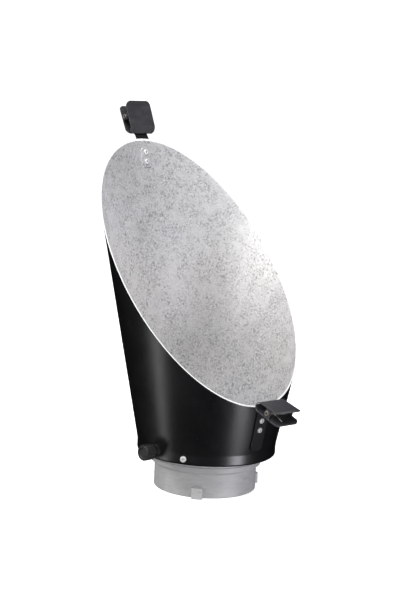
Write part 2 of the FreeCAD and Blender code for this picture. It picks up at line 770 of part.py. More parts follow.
    sides = [beside(p, q, tb) for p, q in zip(path, path[1:])]
    outer = [sides[0][0]]
    for (a0, a1), (b0, b1) in zip(sides, sides[1:]):
        du, dv = (a1[0] - a0[0], a1[1] - a0[1]), (b1[0] - b0[0], b1[1] - b0[1])
        t = ((b0[0] - a0[0]) * dv[1] - (b0[1] - a0[1]) * dv[0]) / (du[0] * dv[1] - du[1] * dv[0])
        outer.append((a0[0] + du[0] * t, a0[1] + du[1] * t))
    outer.append(sides[-1][1])
    strap = new_body(prefix + "_bracket", base)
    sk = new_sketch(strap, prefix + "_bracket_sketch", "YZ")
    outline(sk, path[:1] + outer + path[:0:-1])
    last = pad(strap, prefix + "_bracket_sheet", sk, strap_width, sym=True)

    def along_x_at(e, p):
        return len(e.Vertexes) == 2 and e.Length > 10 and all(
            abs(v.Y - p[0]) < 0.05 and abs(v.Z - p[1]) < 0.05 for v in e.Vertexes)

    last = fillet(strap, prefix + "_bend_in", last, bend_in, lambda e: along_x_at(e, path[1]))
    last = fillet(strap, prefix + "_bend_out", last, bend_out, lambda e: along_x_at(e, outer[1]))
    half = strap_width.value / 2
    last = fillet(strap, prefix + "_foot_corners", last, 3.0, lambda e: (
        len(e.Vertexes) == 2 and e.Length < tb + 0.05
        and all(abs(abs(v.X) - half) < 0.02 and v.Z < foot[1] + 0.02 for v in e.Vertexes)))
    normal = V(0, math.cos(g), -math.sin(g))
    for i, z in enumerate(rivet_heights):
        through_hole(strap, "%s_bracket_hole_%d" % (prefix, i + 1), rivet_shank, V(0, cone_r(z).value, z) - normal * 6, normal, 12)
    through_hole(strap, prefix + "_bracket_clip_hole", rivet_shank, V(0, rivet_at[0], rivet_at[1]) - V(0, nrm[0], nrm[1]) * 6,
                 V(0, nrm[0], nrm[1]), 12)
    keep(strap, prefix + "_bracket")

    # --- curved backing plate inside the cone
    mid = sum(rivet_heights) / len(rivet_heights)
    zl, zh = mid - backing_length.value / 2, mid + backing_length.value / 2
    inner = cone_r(mid).value - cone_wall.value
    backing = new_body(prefix + "_backing_plate", base)
    sweep = math.degrees(backing_width.value / inner)
    bg = backing_gauge.value * stretch
    last = revolve(backing, prefix + "_backing_sheet", [
        (cone_r(zl) - cone_wall - bg, zl),
        (cone_r(zl) - cone_wall, zl),
        (cone_r(zh) - cone_wall, zh),
        (cone_r(zh) - cone_wall - bg, zh),
    ], plane="YZ", angle=sweep)
    last = fillet(backing, prefix + "_backing_corners", last, 2.5, lambda e: (
        len(e.Vertexes) == 2 and e.Length < bg + 0.2 and all(abs(v.X) > 3 for v in e.Vertexes)))
    for i, z in enumerate(rivet_heights):
        through_hole(backing, "%s_backing_hole_%d" % (prefix, i + 1), rivet_shank, V(0, cone_r(z).value, z) - normal * 6, normal, 12)
        n2 = base.Rotation.multVec(normal)
        through_hole(shell, "%s_shell_hole_%d" % (prefix, i + 1), rivet_shank, base.multVec(V(0, cone_r(z).value, z)) - n2 * 6, n2, 12)
    keep(backing, prefix + "_backing_plate")

    # --- blind rivets: strap to cone (two) and clip to strap (one)
    def rivet(name, pos, direction, grip_low, grip_high):
        """Dome on the low side of the grip, tail on the high side, along direction."""
        b = new_body(name, FreeCAD.Placement(pos, FreeCAD.Rotation(V(0, 0, 1), direction)))
        lo, hi = grip_low, grip_high
        revolve(b, name + "_turned", [
            (rivet_mandrel, lo - rivet_dome_height.value),
            (1.5, lo - rivet_dome_height.value),
            (rivet_dome, lo - 0.25),
            (rivet_dome, lo),
            (rivet_shank, lo),
            (rivet_shank, hi),
            (rivet_tail, hi),
            (rivet_tail - 0.4, hi + rivet_tail_height.value),
            (0.0, hi + rivet_tail_height.value),
            (0.0, lo - 0.7),
            (rivet_mandrel, lo - 0.7),
        ])
        return b

    inside = -(sheet_gauge.value + backing_gauge.value + 0.06)
    pair = []
    for i, z in enumerate(rivet_heights):
        p = base.multVec(V(0, cone_r(z).value, z))
        n = base.Rotation.multVec(normal)
        if heads_inside:
            pair.append(rivet("%s_bracket_rivet_%d" % (prefix, i + 1), p, n, inside, tb))
        else:
            pair.append(rivet("%s_bracket_rivet_%d" % (prefix, i + 1), p, n * -1.0, -tb, -inside))
    rivets = doc.addObject("Part::Compound", prefix + "_bracket_rivets")
    rivets.Links = pair
    keep(rivets, prefix + "_bracket_rivets")
    keep(rivet(prefix + "_clip_rivet", rivet_pos, rivet_dir, -clip_gauge.value, tb), prefix + "_clip_rivet")


station("upper", -1.5, 295.0, (302.1, 311.3), True, 135.0, 345.8, 62.6, 4.0, 5.5, 8.0, knee=321.8)
station("lower", 181.4, 49.5, (70.0, 79.4), False, 97.4, 92.3, -17.0, 1.5, 3.0, 8.0)
keep(shell, "reflector_shell")

# ---------------------------------------------------------------- checks and export
doc.recompute()
for obj in doc.Objects:
    if "Invalid" in obj.State or "Error" in obj.State:
        raise RuntimeError("%s failed: %s" % (obj.Name, obj.State))
for obj in parts:
    if obj.Shape.isNull() or not obj.Shape.isValid() or obj.Shape.Volume <= 0:
        raise RuntimeError("%s has no valid shape" % obj.Label)

os.makedirs("parts", exist_ok=True)
for obj in parts:
    obj.Shape.exportStep(os.path.join("parts", obj.Label + ".step"))
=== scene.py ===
import json
import math

import bmesh
import bpy
import numpy as np
from mathutils import Matrix, Vector


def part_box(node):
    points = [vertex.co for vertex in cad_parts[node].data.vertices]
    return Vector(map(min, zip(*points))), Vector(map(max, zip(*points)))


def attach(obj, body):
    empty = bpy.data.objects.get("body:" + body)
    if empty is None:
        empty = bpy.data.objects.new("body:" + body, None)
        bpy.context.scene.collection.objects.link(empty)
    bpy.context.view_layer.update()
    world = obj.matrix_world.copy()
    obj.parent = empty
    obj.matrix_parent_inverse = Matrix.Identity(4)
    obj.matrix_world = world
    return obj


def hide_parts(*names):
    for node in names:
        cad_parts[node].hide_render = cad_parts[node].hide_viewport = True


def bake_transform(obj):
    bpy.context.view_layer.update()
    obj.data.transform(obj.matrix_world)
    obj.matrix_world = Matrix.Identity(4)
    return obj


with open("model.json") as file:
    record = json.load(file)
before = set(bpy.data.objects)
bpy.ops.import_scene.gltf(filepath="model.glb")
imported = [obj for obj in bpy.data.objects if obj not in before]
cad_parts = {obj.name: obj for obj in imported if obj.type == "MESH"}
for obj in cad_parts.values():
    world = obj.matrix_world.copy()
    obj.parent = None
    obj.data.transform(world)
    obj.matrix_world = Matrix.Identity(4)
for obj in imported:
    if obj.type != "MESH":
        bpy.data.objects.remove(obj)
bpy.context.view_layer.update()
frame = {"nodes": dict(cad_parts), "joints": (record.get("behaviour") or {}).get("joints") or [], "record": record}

nodes = frame["nodes"]
joints = {j["name"]: j for j in frame["joints"]}
mounts = {m["name"]: m for m in frame["record"]["mounts"]}
scene = bpy.context.scene

# ------------------------------------------------------------------ materials


class Look:
    """A Principled material with a few short calls for its nodes."""

    def __init__(self, name, color, metallic, roughness, **constants):
        self.m = bpy.data.materials.new(name)
        self.m.use_nodes = True
        self.t = self.m.node_tree
        self.b = self.t.nodes["Principled BSDF"]
        self.b.inputs["Base Color"].default_value = (*color, 1)
        self.b.inputs["Metallic"].default_value = metallic
        self.b.inputs["Roughness"].default_value = roughness
        for k, v in constants.items():
            self.b.inputs[k.replace("_", " ")].default_value = v
        self.m.diffuse_color = (*color, 1)
        self.m.metallic = metallic
        self.m.roughness = roughness
        self.where = self.t.nodes.new("ShaderNodeTexCoord").outputs["Object"]
        self.last_bump = None

    def node(self, kind, inputs=None, **props):
        n = self.t.nodes.new(kind)
        for k, v in props.items():
            setattr(n, k, v)
        for k, v in (inputs or {}).items():
            self.put(n.inputs[k], v)
        return n

    def put(self, socket, v):
        if isinstance(v, bpy.types.NodeSocket):
            self.t.links.new(v, socket)
        else:
            socket.default_value = v

    def math(self, op, *args, clamp=False):
        return self.node("ShaderNodeMath", dict(enumerate(args)), operation=op, use_clamp=clamp).outputs[0]

    def stretch(self, sx, sy, sz, source=None):
        """The place, scaled on each axis: a large number makes fine detail that way."""
        return self.node("ShaderNodeMapping", {"Vector": source or self.where, "Scale": (sx, sy, sz)}).outputs[0]

    def around(self, ring=1.0, out=1.0, up=1.0):
        """Coordinates that run round the Z axis: angle, radius, height."""
        x = self.node("ShaderNodeSeparateXYZ", {0: self.where})
        angle = self.math("ARCTAN2", x.outputs[1], x.outputs[0])
        radius = self.math("SQRT", self.math("ADD", self.math("POWER", x.outputs[0], 2.0), self.math("POWER", x.outputs[1], 2.0)))
        c = self.node("ShaderNodeCombineXYZ", {
            0: self.math("MULTIPLY", angle, ring),
            1: self.math("MULTIPLY", radius, out),
            2: self.math("MULTIPLY", x.outputs[2], up),
        })
        return c.outputs[0]

    def height(self):
        return self.node("ShaderNodeSeparateXYZ", {0: self.where}).outputs[2]

    def noise(self, scale, detail=4.0, rough=0.55, source=None, bend=0.0):
        return self.node("ShaderNodeTexNoise", {
            "Vector": source or self.where, "Scale": scale, "Detail": detail, "Roughness": rough, "Distortion": bend,
        }).outputs[0]

    def cells(self, scale, source=None, feature="SMOOTH_F1", smooth=0.6, jitter=1.0):
        n = self.node("ShaderNodeTexVoronoi", feature=feature)
        self.put(n.inputs["Vector"], source or self.where)
        n.inputs["Scale"].default_value = scale
        n.inputs["Randomness"].default_value = jitter
        if feature == "SMOOTH_F1":
            n.inputs["Smoothness"].default_value = smooth
        return n.outputs["Distance"]

    def fit(self, value, a, b, lo=0.0, hi=1.0):
        n = self.node("ShaderNodeMapRange", {"Value": value, "From Min": a, "From Max": b, "To Min": lo, "To Max": hi})
        return n.outputs[0]

    def ramp(self, value, *stops):
        n = self.node("ShaderNodeValToRGB", {"Fac": value})
        e = n.color_ramp.elements
        while len(e) < len(stops):
            e.new(0.5)
        for i, (p, c) in enumerate(stops):
            e[i].position = p
            e[i].color = (*c, 1) if not isinstance(c, float) else (c, c, c, 1)
        return n.outputs["Color"]

    def mix(self, fac, a, b, blend="MIX"):
        n = self.node("ShaderNodeMix", data_type="RGBA", blend_type=blend)
        self.put(n.inputs[0], fac)
        for s, v in ((n.inputs[6], a), (n.inputs[7], b)):
            self.put(s, v if isinstance(v, bpy.types.NodeSocket) else (*v, 1))
        return n.outputs[2]

    def edges(self, radius, gain=9.0):
        """1 along the outer edges of the piece, 0 on its faces."""
        bevel = self.node("ShaderNodeBevel", {"Radius": radius}, samples=6)
        geo = self.node("ShaderNodeNewGeometry")
        dot = self.node("ShaderNodeVectorMath", {0: bevel.outputs[0], 1: geo.outputs["Normal"]}, operation="DOT_PRODUCT").outputs["Value"]
        return self.math("MULTIPLY", self.math("SUBTRACT", 1.0, dot), gain, clamp=True)

    def color(self, v):
        self.put(self.b.inputs["Base Color"], v)

    def rough(self, v):
        self.put(self.b.inputs["Roughness"], v)

    def bump(self, height, strength, distance):
        n = self.node("ShaderNodeBump", {"Strength": strength, "Distance": distance, "Height": height})
        if self.last_bump is not None:
            self.t.links.new(self.last_bump, n.inputs["Normal"])
        self.last_bump = n.outputs[0]
        self.put(self.b.inputs["Normal"], self.last_bump)


def satin_black(name, base=0.0055, rough=0.30, peel=1.0):
    """Satin black paint: fine orange peel, faint handling haze, dust and a rubbed edge."""
    k = Look(name, (base, base, base * 1.1), 0.0, rough)
    peel_n = k.noise(1500.0, 3.0, 0.5)
    fine = k.noise(5200.0, 2.0, 0.6)
    haze = k.noise(22.0, 5.0, 0.6, bend=0.6)
    specks = k.noise(900.0, 1.0, 0.4)
    dust = k.fit(specks, 0.70, 0.78)
    rub = k.math("MULTIPLY", k.edges(0.0005, 7.0), k.fit(k.noise(420.0, 4.0, 0.7), 0.45, 0.62))
    c = k.mix(k.fit(haze, 0.3, 0.75), (base * 0.8, base * 0.8, base * 0.88), (base * 1.35, base * 1.35, base * 1.5))
    c = k.mix(k.math("MULTIPLY", dust, 0.25), c, (0.10, 0.10, 0.105))
    c = k.mix(k.math("MULTIPLY", rub, 0.5), c, (0.16, 0.16, 0.17))
    k.color(c)
    r = k.fit(haze, 0.25, 0.8, rough - 0.04, rough + 0.07)
    r = k.math("ADD", r, k.fit(fine, 0.3, 0.7, -0.02, 0.03))
    k.rough(r)
    k.bump(peel_n, 0.10 * peel, 0.00012)
    k.bump(fine, 0.05 * peel, 0.00004)
    return k.m


def stippled_silver(name):
    """Stucco-embossed bright aluminium: small pillowed cells, larger smears, a little tarnish."""
    k = Look(name, (0.78, 0.78, 0.79), 0.50, 0.42)
    cells = k.cells(760.0, smooth=0.6)
    grain = k.noise(1250.0, 3.0, 0.7)
    weave = k.noise(520.0, 3.0, 0.6, bend=0.5)
    clump = k.noise(60.0, 5.0, 0.65, bend=1.2)
    smear = k.noise(34.0, 6.0, 0.62, bend=1.6)
    cloud = k.noise(8.5, 3.0, 0.5, bend=0.8)
    tone = k.ramp(smear, (0.28, 0.72), (0.46, 0.84), (0.60, 0.91), (0.78, 0.97))
    tone = k.mix(k.fit(cloud, 0.35, 0.7), tone, (0.90, 0.895, 0.91), "MIX")
    flecks = k.ramp(weave, (0.34, 0.34), (0.50, 0.76), (0.64, 1.0))
    flecks = k.mix(k.fit(clump, 0.44, 0.66), flecks, k.ramp(grain, (0.34, 0.62), (0.50, 0.95), (0.60, 1.0)))
    tone = k.mix(0.9, tone, flecks, "MULTIPLY")
    tint = k.mix(k.fit(k.noise(5.0, 2.0, 0.5), 0.42, 0.62), (0.985, 0.98, 1.0), (1.0, 0.965, 0.93))
    k.color(k.mix(0.6, tone, tint, "MULTIPLY"))
    k.rough(k.math("ADD", k.fit(smear, 0.3, 0.75, 0.42, 0.28), k.fit(grain, 0.3, 0.7, -0.04, 0.05)))
    k.bump(weave, 0.5, 0.00028)
    k.bump(cells, 0.75, 0.00020)
    k.bump(grain, 0.6, 0.00014)
    return k.m


def cast_ring(name):
    """Turned casting: fine rings round the axis, slight mottling, paler worn edges."""
    k = Look(name, (0.60, 0.60, 0.605), 0.30, 0.62)
    turned = k.noise(1.0, 6.0, 0.7, source=k.around(2.0, 2600.0, 2600.0))
    broad = k.noise(1.0, 3.0, 0.55, source=k.around(3.0, 60.0, 60.0))
    streak = k.noise(1.0, 5.0, 0.65, source=k.around(4.5, 420.0, 420.0))
    pits = k.noise(1400.0, 3.0, 0.6)
    tone = k.ramp(streak, (0.28, 0.40), (0.5, 0.49), (0.74, 0.58))
    tone = k.mix(k.fit(broad, 0.35, 0.65, 0.0, 0.5), tone, (0.45, 0.45, 0.46))
    tone = k.mix(k.math("MULTIPLY", k.edges(0.0006, 6.0), 0.6), tone, (0.72, 0.72, 0.72))
    tone = k.mix(k.fit(pits, 0.66, 0.74), tone, (0.38, 0.38, 0.385))
    k.color(tone)
    k.rough(k.math("ADD", k.fit(streak, 0.3, 0.7, 0.56, 0.68), k.fit(turned, 0.3, 0.7, -0.04, 0.05)))
    k.bump(turned, 0.30, 0.00006)
    k.bump(pits, 0.25, 0.00006)
    return k.m


def bare_edge(name):
    """Sheared aluminium edge, lightly filed."""
    k = Look(name, (0.92, 0.92, 0.92), 0.15, 0.36)
    file_marks = k.noise(1.0, 4.0, 0.7, source=k.around(90.0, 3000.0, 800.0))
    k.color(k.ramp(file_marks, (0.3, 0.88), (0.7, 0.96)))
    k.rough(k.fit(file_marks, 0.3, 0.7, 0.30, 0.46))
    k.bump(file_marks, 0.25, 0.00005)
    return k.m


def enamelled_steel(name, base=0.017, rough=0.40, warm=0.0):
    """Baked black enamel on pressed steel: pinholes, mottled sheen, paint worn off the edges."""
    k = Look(name, (base, base, base * 1.12), 0.0, rough)
    mottle = k.noise(130.0, 5.0, 0.6, bend=0.5)
    pin = k.noise(2400.0, 2.0, 0.6)
    scratch = k.noise(1.0, 2.0, 0.4, source=k.stretch(2600.0, 90.0, 90.0))
    worn = k.math("MULTIPLY", k.edges(0.0004, 9.0), k.fit(k.noise(520.0, 4.0, 0.7), 0.42, 0.60))
    c = k.mix(k.fit(mottle, 0.3, 0.72), (base * 0.88, base * 0.86, base * 0.98), (base * 1.22, base * 1.19 - warm, base * 1.36 - warm))
    c = k.mix(k.math("MULTIPLY", k.fit(scratch, 0.70, 0.80), 0.35), c, (0.15, 0.15, 0.16))
    c = k.mix(k.math("MULTIPLY", worn, 0.75), c, (0.30, 0.30, 0.31))
    k.color(c)
    k.rough(k.math("ADD", k.fit(mottle, 0.3, 0.7, rough - 0.08, rough + 0.08), k.fit(pin, 0.3, 0.7, -0.03, 0.03)))
    k.bump(pin, 0.22, 0.00005)
    k.bump(mottle, 0.07, 0.00008)
    return k.m


def plated(name, tone=(0.72, 0.72, 0.71), rough=0.24, metallic=1.0):
    """Bright plated steel with tiny scratches and dulled patches."""
    k = Look(name, tone, metallic, rough)
    dull = k.noise(300.0, 4.0, 0.6)
    scratch = k.noise(1.0, 3.0, 0.6, source=k.stretch(700.0, 2600.0, 1500.0))
    k.color(k.mix(k.fit(dull, 0.35, 0.7), tuple(v * 0.82 for v in tone), tuple(min(v * 1.12, 0.95) for v in tone)))
    k.rough(k.math("ADD", k.fit(dull, 0.3, 0.7, rough - 0.06, rough + 0.12), k.fit(scratch, 0.3, 0.7, -0.03, 0.05)))
    k.bump(scratch, 0.16, 0.00003)
    return k.m


def moulded(name, base=0.009, rough=0.48):
    """Moulded black plastic with a fine spark-eroded grain."""
    k = Look(name, (base, base, base), 0.0, rough)
    grain = k.noise(3200.0, 2.0, 0.6)
    wipe = k.noise(120.0, 4.0, 0.6)
    rub = k.math("MULTIPLY", k.edges(0.0005, 6.0), k.fit(k.noise(500.0, 3.0, 0.7), 0.4, 0.6))
    c = k.mix(k.fit(wipe, 0.3, 0.7), (base * 0.8,) * 3, (base * 1.4,) * 3)
    k.color(k.mix(k.math("MULTIPLY", rub, 0.4), c, (0.10, 0.10, 0.10)))
    k.rough(k.fit(wipe, 0.3, 0.7, rough - 0.07, rough + 0.07))
    k.bump(grain, 0.30, 0.00006)
    return k.m


paint = satin_black("shell_paint_black")
silver = stippled_silver("shell_silver_inside")
edge_metal = bare_edge("shell_cut_edge")
cast = cast_ring("ring_cast_aluminium")
machined = plated("collar_machined", (0.62, 0.62, 0.63), 0.34, 0.9)
enamel = enamelled_steel("clip_black_enamel", 0.034, 0.44)
bracket_paint = satin_black("bracket_black_paint", 0.0075, 0.36, 1.2)
bright = plated("plated_fasteners", (0.66, 0.66, 0.66), 0.44, 0.35)
mill = plated("rivet_mill_finish", (0.70, 0.70, 0.71), 0.50, 0.25)
dull_pin = plated("clip_pin_dulled", (0.20, 0.18, 0.16), 0.46, 0.6)
# near-black material: the steel mandrel's own darker tone plus painted shade in the rivet's dimple
mandrel_and_painted_shade = plated("rivet_mandrel_and_painted_shade", (0.10, 0.10, 0.10), 0.5, 0.4)
wire = plated("spring_wire", (0.50, 0.50, 0.485), 0.34, 0.85)
knob_black = moulded("knob_black_plastic")
bush_paint = satin_black("bush_black_paint", 0.007, 0.40)
brass = plated("lock_pad_brass", (0.70, 0.52, 0.25), 0.30)


def dress(name, *materials):
    slots = nodes[name].data.materials
    slots.clear()
    for m in materials:
        slots.append(m)


def soften(name, width, angle=32.0, segments=2):
    """Rolls the sharp edges of a CAD piece without touching its mesh."""
    o = nodes[name]
    w = o.modifiers.new("join", "WELD")
    w.merge_threshold = 2e-6
    b = o.modifiers.new("soften", "BEVEL")
    b.width = width
    b.segments = segments
    b.limit_method = "ANGLE"
    b.angle_limit = math.radians(angle)
    b.use_clamp_overlap = True
    b.harden_normals = True
    n = o.modifiers.new("shading", "WEIGHTED_NORMAL")
    n.keep_sharp = False
    n.weight = 80
    return o


# --------------------------------------------------------------- mesh helpers


def new_mesh(name, verts, faces, materials, face_material=None, smooth=True):
    me = bpy.data.meshes.new(name)
    me.from_pydata([tuple(v) for v in verts], [], faces)
    for m in materials:
        me.materials.append(m)
    if face_material is not None:
        me.polygons.foreach_set("material_index", face_material)
    me.polygons.foreach_set("use_smooth", [smooth] * len(me.polygons))
    me.update()
    o = bpy.data.objects.new(name, me)
    scene.collection.objects.link(o)
    return o


def parts_of(node):
    """The separate solids of a CAD node, each as an array of its vertices."""
    me = nodes[node].data
    co = np.array([v.co for v in me.vertices], float).reshape(-1, 3)
    key = {}
    same = [key.setdefault(tuple(np.round(p * 1e6).astype(int)), i) for i, p in enumerate(co)]
    up = list(range(len(co)))

    def root(i):
        while up[i] != i:
            up[i] = up[up[i]]
            i = up[i]
        return i

    for p in me.polygons:
        vs = [same[v] for v in p.vertices]
        for v in vs[1:]:
            up[root(v)] = root(vs[0])
    groups = {}
    for i in set(same):
        groups.setdefault(root(i), []).append(i)
    return [co[g] for g in groups.values()]


def turned_axis(pts):
    """Centre and axis of a turned solid, from its vertices."""
    c = (pts.max(0) + pts.min(0)) / 2
    values, vectors = np.linalg.eigh(np.cov((pts - pts.mean(0)).T))
    gaps = abs(values[1] - values[0]), abs(values[2] - values[1])
    axis = vectors[:, 2] if gaps[1] > gaps[0] else vectors[:, 0]
    return c, axis / np.linalg.norm(axis)


def lathe(name, profile, origin, axis, materials, steps=48, pick=None):
    """Turns (radius, distance) points about an axis. A radius of 0 closes the end."""
    z = Vector(axis).normalized()
    x = z.orthogonal().normalized()
    y = z.cross(x)
    verts, faces, rows = [], [], []
    for r, h in profile:
        if r < 1e-9:
            rows.append([len(verts)] * steps)
            verts.append(Vector(origin) + z * h)
        else:
            rows.append([len(verts) + i for i in range(steps)])
            for i in range(steps):
                a = 2 * math.pi * i / steps
                verts.append(Vector(origin) + z * h + (x * math.cos(a) + y * math.sin(a)) * r)
    mats = []
    for j in range(len(rows) - 1):
        for i in range(steps):
            k = (i + 1) % steps
            quad = [rows[j][i], rows[j][k], rows[j + 1][k], rows[j + 1][i]]
            quad = [v for n, v in enumerate(quad) if v not in quad[:n]]
            if len(quad) > 2:
                faces.append(quad)
                mats.append(pick(j) if pick else 0)
    return new_mesh(name, verts, faces, materials, mats)


def arc(cx, cy, r, a0, a1, n):
    return [(cx + r * math.cos(math.radians(a0 + (a1 - a0) * i / n)), cy + r * math.sin(math.radians(a0 + (a1 - a0) * i / n))) for i in range(n + 1)]


# ------------------------------------------------------------ reflector shell
# The same spun cone as the CAD node, in metres, with a rolled foot, a set-in
# band, a filed rim and a finish of its own outside, inside and on the rim.
mm = 0.001
low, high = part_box("reflector_shell")
foot = low.z
band_r = 66.56 * mm
band_top = 45.0 * mm
sheet = 1.2 * mm
slope = 0.2
wall = sheet * math.sqrt(1 + slope * slope)
lip_r = 62.0 * mm
mouth_z, mouth_k = 181.83 * mm, 1.168


def rim_height(base, phi):
    """Height at which the cone of that base radius meets the mouth plane."""
    s = math.sin(phi)
    return (mouth_z + mouth_k * s * base) / (1 - mouth_k * slope * s)


N = 480
base_out = band_r - slope * band_top
base_in = base_out - wall
verts, faces, mats = [], [], []
columns = []
for i in range(N):
    phi = 2 * math.pi * i / N
    c, s = math.cos(phi), math.sin(phi)
    zo, zi = rim_height(base_out, phi), rim_height(base_in, phi)
    col = []  # (radius, height, material of the face that follows)
    col += [(lip_r + 0.25 * mm, foot + sheet * 0.75, 0), (lip_r, foot + sheet * 0.4, 0), (lip_r + 0.12 * mm, foot + 0.1 * mm, 0), (lip_r + 0.5 * mm, foot, 0)]
    for r, h in arc(band_r - 2.0 * mm, foot + 2.0 * mm, 2.0 * mm, -90, 0, 7):
        col.append((r, h, 0))
    col += [(band_r, foot + 4.5 * mm, 0), (band_r, band_top - 1.6 * mm, 0), (band_r, band_top - 0.6 * mm, 0), (band_r + 0.015 * mm, band_top, 0), (band_r + slope * 0.7 * mm, band_top + 0.7 * mm, 0), (band_r + slope * 1.8 * mm, band_top + 1.8 * mm, 0)]
    rows = 72
    z0 = band_top + 1.8 * mm
    ztop = zo - 0.32 * mm
    for j in range(1, rows + 1):
        z = z0 + (ztop - z0) * j / rows
        col.append((base_out + slope * z, z, 0))
    # rim: rolled outer corner, filed face, rolled inner corner
    A = Vector((base_out + slope * ztop, ztop))
    O = Vector((base_out + slope * zo, zo))
    I = Vector((base_in + slope * zi, zi))
    across = (I - O)
    B = O + across * 0.24
    C = I - across * 0.22
    D = Vector((base_in + slope * (zi - 0.3 * mm), zi - 0.3 * mm))
    for t in (0.25, 0.5, 0.75, 1.0):
        p = A * (1 - t) ** 2 + O * 2 * t * (1 - t) + B * t * t
        col.append((p.x, p.y, 1))
    col.append((*(B * 0.5 + C * 0.5), 1))
    for t in (0.0, 0.25, 0.5, 0.75, 1.0):
        p = C * (1 - t) ** 2 + I * 2 * t * (1 - t) + D * t * t
        col.append((p.x, p.y, 1 if t < 0.75 else 2))
    for j in range(1, rows + 1):
        z = D.y + (band_top - D.y) * j / rows
        col.append((base_in + slope * z, z, 2))
    inner_band = band_r - sheet
    col += [(inner_band, band_top - 1.2 * mm, 2), (inner_band, foot + 3.2 * mm, 2), (inner_band - 0.5 * mm, foot + sheet + 0.9 * mm, 2), (inner_band - 1.6 * mm, foot + sheet, 2), (lip_r + 0.7 * mm, foot + sheet, 2)]
    columns.append(len(verts))
    for r, h, _ in col:
        verts.append((r * c, r * s, h))
    row_mats = [m for _, _, m in col]
n = len(row_mats)
for i in range(N):
    a, b = columns[i], columns[(i + 1) % N]
    for j in range(n):
        k = (j + 1) % n
        faces.append((a + j, b + j, b + k, a + k))
        mats.append(row_mats[j] if k else 0)
shell = new_mesh("shell_body", verts, faces, [paint, edge_metal, silver], mats)
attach(shell, "reflector")
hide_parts("reflector_shell")

# -------------------------------------------------------- pieces kept from CAD
dress("mount_ring", cast)
dress("swivel_drum", cast)
dress("base_collar", machined)
dress("guide_screws", bright)
dress("lock_bush", bush_paint)
dress("lock_knob", knob_black)
dress("lock_stud", bright)
dress("lock_pad", brass)
soften("mount_ring", 0.00035)
soften("swivel_drum", 0.0003)
soften("base_collar", 0.0002)
soften("guide_screws", 0.00018)
soften("lock_bush", 0.00025)
soften("lock_knob", 0.0003)
soften("lock_stud", 0.00015)
soften("lock_pad", 0.00012)
for side in ("upper", "lower"):
    dress(side + "_bracket", bracket_paint)
    dress(side + "_backing_plate", machined if side == "upper" else bush_paint)
    dress(side + "_clip_moving_plate", enamel)
    dress(side + "_clip_fixed_plate", enamel)
    dress(side + "_clip_pin", dull_pin)
    soften(side + "_bracket", 0.00025)
    soften(side + "_backing_plate", 0.00018)
    soften(side + "_clip_moving_plate", 0.00022)
    soften(side + "_clip_fixed_plate", 0.00022)
    soften(side + "_clip_pin", 0.00012)
dress("upper_backing_plate", silver)

# --------------------------------------------------------------------- rivets
# Blind rivets: a low domed head with the broken mandrel in its dimple, and the
# bulbed tail on the other side. The dimple floor is coloured near black: the
# mandrel's darker steel plus painted shade in the hollow.


def rivet(name, pts, body, material):
    c, axis = turned_axis(pts)
    along = (pts - c) @ axis
    off = np.linalg.norm((pts - c) - np.outer(along, axis), axis=1)
    if off[along > 0].max() < off[along < 0].max():  # the head is the wider end
        axis = -axis
        along = -along
    top, bottom = along.max(), along.min()
    head = off.max()
    shoulder = along[off > head * 0.98].min()
    tail = off[along < 0].max()
    tail_at = along[(off > tail * 0.98) & (along < 0)].max()
    shank = 1.6 * mm
    rise = top - shoulder
    profile = [(0.0, top - 0.62 * mm), (0.30 * mm, top - 0.60 * mm), (0.46 * mm, top - 0.66 * mm), (0.60 * mm, top - 0.80 * mm), (0.70 * mm, top - 0.80 * mm), (0.80 * mm, top - 0.45 * mm), (0.90 * mm, top - 0.12 * mm), (1.05 * mm, top - 0.01 * mm)]
    for t in range(1, 12):
        a = math.radians(90 - 82 * t / 11)
        profile.append((1.05 * mm + (head - 1.05 * mm) * math.cos(a), shoulder + 0.1 * mm + (rise - 0.11 * mm) * math.sin(a)))
    profile += [(head, shoulder + 0.08 * mm), (head - 0.05 * mm, shoulder), (shank, shoulder), (shank, tail_at + 0.0001)]
    for t in range(0, 9):
        a = math.radians(90 - 180 * t / 8 * 0.94)
        profile.append((max(shank, 0) * 0.55 + (tail - shank * 0.55) * abs(math.cos(a)) ** 0.7 if t not in (0,) else shank, (tail_at + bottom) / 2 + (tail_at - bottom) / 2 * math.sin(a)))
    profile += [(0.8 * mm, bottom), (0.62 * mm, bottom + 0.12 * mm), (0.0, bottom + 0.1 * mm)]
    # the first four rows (the mandrel end and the gap round it) take the near-black material: mandrel steel plus
    # painted shade
    o = lathe(name, profile, c, axis, [material, mandrel_and_painted_shade], 40, pick=lambda j: 1 if j < 4 else 0)
    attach(o, body)
    return o


for node in ("upper_bracket_rivets", "lower_bracket_rivets", "upper_clip_rivet", "lower_clip_rivet"):
    for i, pts in enumerate(parts_of(node)):
        o = rivet("%s_%d" % (node, i + 1), pts, "reflector", mill if node == "upper_bracket_rivets" else bright)
        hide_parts(node)
